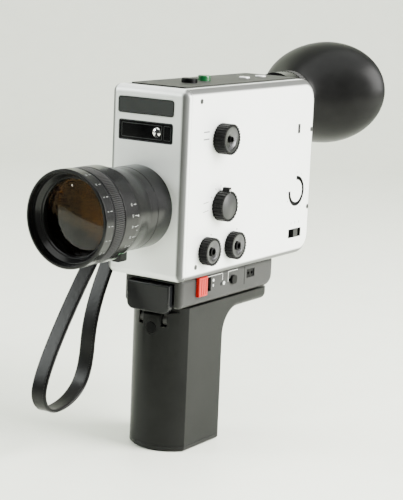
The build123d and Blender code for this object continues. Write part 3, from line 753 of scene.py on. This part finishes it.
# ---- front plate details ----
def rounded_outline(lo_x, hi_x, lo_z, hi_z, radius, steps=8):
    """Points round a rectangle with round corners, as (x, z) in mm."""
    line = []
    for cx, cz, start in ((hi_x - radius, hi_z - radius, 0), (lo_x + radius, hi_z - radius, 90),
                          (lo_x + radius, lo_z + radius, 180), (hi_x - radius, lo_z + radius, 270)):
        for i in range(steps + 1):
            angle = radians(start + 90 * i / steps)
            line.append((cx + radius * cos(angle), cz + radius * sin(angle)))
    return line


def frame_band(shape, box, radius, width, y, lift):
    """A raised band just inside a rounded rectangle on a face that looks along -Y."""
    outer = rounded_outline(*box, radius)
    inner = rounded_outline(box[0] + width, box[1] - width, box[2] + width, box[3] - width,
                            max(0.2, radius - width))
    count = len(outer)
    points = [at(x, y + d, z) for d in (0, -lift) for line in (outer, inner) for x, z in line]
    faces = []
    for i in range(count):
        j = (i + 1) % count
        for a, b in ((0, 1), (1, 3), (3, 2), (2, 0)):
            faces.append((a * count + i, a * count + j, b * count + j, b * count + i))
    shape.add(points, faces)


def front_details():
    """The bevelled edge of the meter window, its dark inner mask, and the name plate's edge."""
    lo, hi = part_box("meter_window")
    mid = CASE.x / MM
    box = [lo.x / MM - mid, hi.x / MM - mid, (lo.z - CASE.z) / MM, (hi.z - CASE.z) / MM]
    face = (lo.y - CASE.y) / MM
    edge = Shape()
    frame_band(edge, box, 1.4, 0.55, face, 0.35)
    edge.make("window_edge", WINDOW_EDGE, "camera_body")
    mask = Shape()
    band = [box[0] + 1.6, box[1] - 7.4, box[2] + 1.6, box[3] - 1.6]
    frame_band(mask, band, 0.6, 0.4, face, 0.05)
    frame_band(mask, [box[1] - 6.4, box[1] - 1.6, box[2] + 1.6, box[3] - 1.6], 0.6, 0.3, face, 0.05)
    mask.make("window_mask", PLATE_GREY, "camera_body")
    lo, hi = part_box("name_plate")
    box = [lo.x / MM - mid, hi.x / MM - mid, (lo.z - CASE.z) / MM, (hi.z - CASE.z) / MM]
    rim = Shape()
    frame_band(rim, box, 1.4, 0.5, (lo.y - CASE.y) / MM, 0.04)
    rim.make("name_plate_edge", TOP_GREY, "camera_body")


def ribbed_ring():
    """The focusing ring with its many fine ribs, and the plain band in front of them."""
    lo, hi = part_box("focus_ring")
    outer, inner = (hi.x - lo.x) / 2, SLEEVE
    ribs = 150
    rows = ((hi.y, -0.9, 0.0), (hi.y - 0.35 * MM, -0.1, 1.0), (lo.y + 2.3 * MM, -0.1, 1.0),
            (lo.y + 2.0 * MM, -0.8, 0.0), (lo.y + 0.4 * MM, -0.75, 0.0), (lo.y, -1.1, 0.0))
    wave = (0.0, 0.0, -0.55, -0.55)
    count = ribs * len(wave)
    points, faces = [], []
    for y, drop, deep in rows:
        for i in range(count):
            angle = 2 * pi * i / count
            reach = outer + (drop + deep * wave[i % len(wave)]) * MM
            points.append((LENS.x + reach * cos(angle), y, LENS.z + reach * sin(angle)))
    for y in (lo.y, hi.y):
        for i in range(count):
            angle = 2 * pi * i / count
            points.append((LENS.x + inner * cos(angle), y, LENS.z + inner * sin(angle)))
    total = len(rows) + 2
    for row in range(total):
        for i in range(count):
            j = (i + 1) % count
            here, there = row * count, (row + 1) % total * count
            faces.append((here + i, here + j, there + j, there + i))
    ring = piece("ribbed_focus_ring", points, faces, RIBBED, "focus_ring", smooth=False)
    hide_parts("focus_ring")


def dark_recesses():
    """A dark lining round the remote socket, painted shade on the walls of its recess."""
    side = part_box("base_housing")[1].x
    shape = Shape()
    for y0, y1, z0, z1 in ((78.05, 86.95, -8.75, -3.65),):
        outline = [(y0, z0), (y1, z0), (y1, z1), (y0, z1)]
        inner = [(y0 + 0.5, z0 + 0.5), (y1 - 0.5, z0 + 0.5), (y1 - 0.5, z1 - 0.5), (y0 + 0.5, z1 - 0.5)]
        count = 4
        points = []
        for x in (side + 0.02 * MM, side - 0.39 * MM):
            for line in (outline, inner):
                for y, z in line:
                    p = at(0, y, z)
                    p.x = x
                    points.append(p)
        faces = []
        for i in range(count):
            j = (i + 1) % count
            for a, b in ((0, 1), (1, 3), (3, 2), (2, 0)):
                faces.append((a * count + i, a * count + j, b * count + j, b * count + i))
        shape.add(points, faces)
    # The dark lining on the socket recess walls is painted shade.
    shape.make("socket_recess_shade", FLAT_BLACK, "camera_body")


control_marks()
dark_recesses()
painted_slot_shade()
knob_marks()
ribbed_ring()
base_marks()
lens_numbers()
lens_inside()
eyecup()
strap()
front_details()


# ---- floor, light and camera ----
def stage():
    floor_look = surface("floor_paper", (0.89, 0.92, 0.815), 0.5, vary=0.012, grain=300, bump=0.01,
                         coat=0.22)
    points, faces = [], []
    width = 3.0
    profile = [(-0.5, 0.0), (1.2, 0.0)]
    bend = 0.6
    for step in range(1, 13):
        angle = step / 12 * pi / 2
        profile.append((1.2 + bend * sin(angle), bend - bend * cos(angle)))
    profile.append((1.2 + bend, 2.6))
    turn = Matrix.Rotation(radians(VIEW_AZIMUTH), 3, "Z")
    for y, z in profile:
        for x in (-width, width):
            points.append(turn @ Vector((x, y, z)) + Vector((0, 0, -0.0002)))
    for i in range(len(profile) - 1):
        faces.append((2 * i, 2 * i + 1, 2 * i + 3, 2 * i + 2))
    mesh = bpy.data.meshes.new("floor")
    mesh.from_pydata([tuple(p) for p in points], [], faces)
    floor = bpy.data.objects.new("floor", mesh)
    bpy.context.scene.collection.objects.link(floor)
    mesh.materials.append(floor_look)
    for face in mesh.polygons:
        face.use_smooth = True


def area_light(name, azimuth, elevation, distance, size, power, colour=(1, 1, 1), aim=None):
    light = bpy.data.lights.new(name, "AREA")
    light.shape = "RECTANGLE"
    light.size, light.size_y = size
    light.energy = power
    light.color = colour
    obj = bpy.data.objects.new(name, light)
    bpy.context.scene.collection.objects.link(obj)
    a, e = radians(azimuth), radians(elevation)
    back = Vector((sin(a) * cos(e), -cos(a) * cos(e), sin(e)))
    target = aim or Vector((0, 0.03, 0.12))
    obj.location = target + back * distance
    obj.rotation_mode = "QUATERNION"
    obj.rotation_quaternion = (-back).to_track_quat("-Z", "Y")
    return obj


VIEW_AZIMUTH, VIEW_ELEVATION, VIEW_ROLL = 32.98, 10.6, 2.407
VIEW_SHIFT = Vector((-0.032638, 0.015418, 0.892194))   # the front plate's foot seen from the camera
FOCAL = 116.7


def camera():
    a, e, r = radians(VIEW_AZIMUTH), radians(VIEW_ELEVATION), radians(VIEW_ROLL)
    back = Vector((sin(a) * cos(e), -cos(a) * cos(e), sin(e)))
    forward = -back
    right = forward.cross(Vector((0, 0, 1))).normalized()
    down = forward.cross(right)
    turned_right = right * cos(r) - down * sin(r)
    turned_down = right * sin(r) + down * cos(r)
    data = bpy.data.cameras.new("camera")
    data.sensor_width = 36.0
    data.lens = FOCAL
    obj = bpy.data.objects.new("camera", data)
    bpy.context.scene.collection.objects.link(obj)
    rows = Matrix((turned_right, turned_down, forward))
    obj.location = CASE - rows.transposed() @ VIEW_SHIFT
    turn = Matrix((turned_right, -turned_down, -forward)).transposed()
    obj.rotation_mode = "QUATERNION"
    obj.rotation_quaternion = turn.to_quaternion()
    data.clip_start, data.clip_end = 0.05, 20.0
    bpy.context.scene.camera = obj


def sky():
    """Soft light from all round, except from a darker part of the room behind the camera."""
    world = bpy.data.worlds.new("world")
    bpy.context.scene.world = world
    world.use_nodes = True
    tree = world.node_tree
    place = tree.nodes.new("ShaderNodeTexCoord")
    side = tree.nodes.new("ShaderNodeVectorMath")
    side.operation = "DOT_PRODUCT"
    tree.links.new(place.outputs["Generated"], side.inputs[0])
    a = radians(VIEW_AZIMUTH - 36.0)
    side.inputs[1].default_value = (sin(a), -cos(a), 0.0)
    ramp = tree.nodes.new("ShaderNodeValToRGB")
    ramp.color_ramp.elements[0].position = 0.22
    ramp.color_ramp.elements[0].color = (0.86, 0.88, 0.82, 1)
    ramp.color_ramp.elements[1].position = 0.58
    ramp.color_ramp.elements[1].color = (0.04, 0.042, 0.04, 1)
    tree.links.new(side.outputs["Value"], ramp.inputs["Fac"])
    tree.links.new(ramp.outputs["Color"], tree.nodes["Background"].inputs["Color"])
    tree.nodes["Background"].inputs["Strength"].default_value = 1.0


stage()
camera()
area_light("key_right", 108, 28, 1.2, (0.9, 1.1), 78, (1.0, 0.99, 0.97))
area_light("top_soft", 60, 82, 1.5, (1.6, 1.6), 30, (0.98, 1.0, 0.97))
area_light("front_left", -54, 27, 1.6, (0.7, 0.7), 28, (0.95, 1.0, 0.97))
sky()
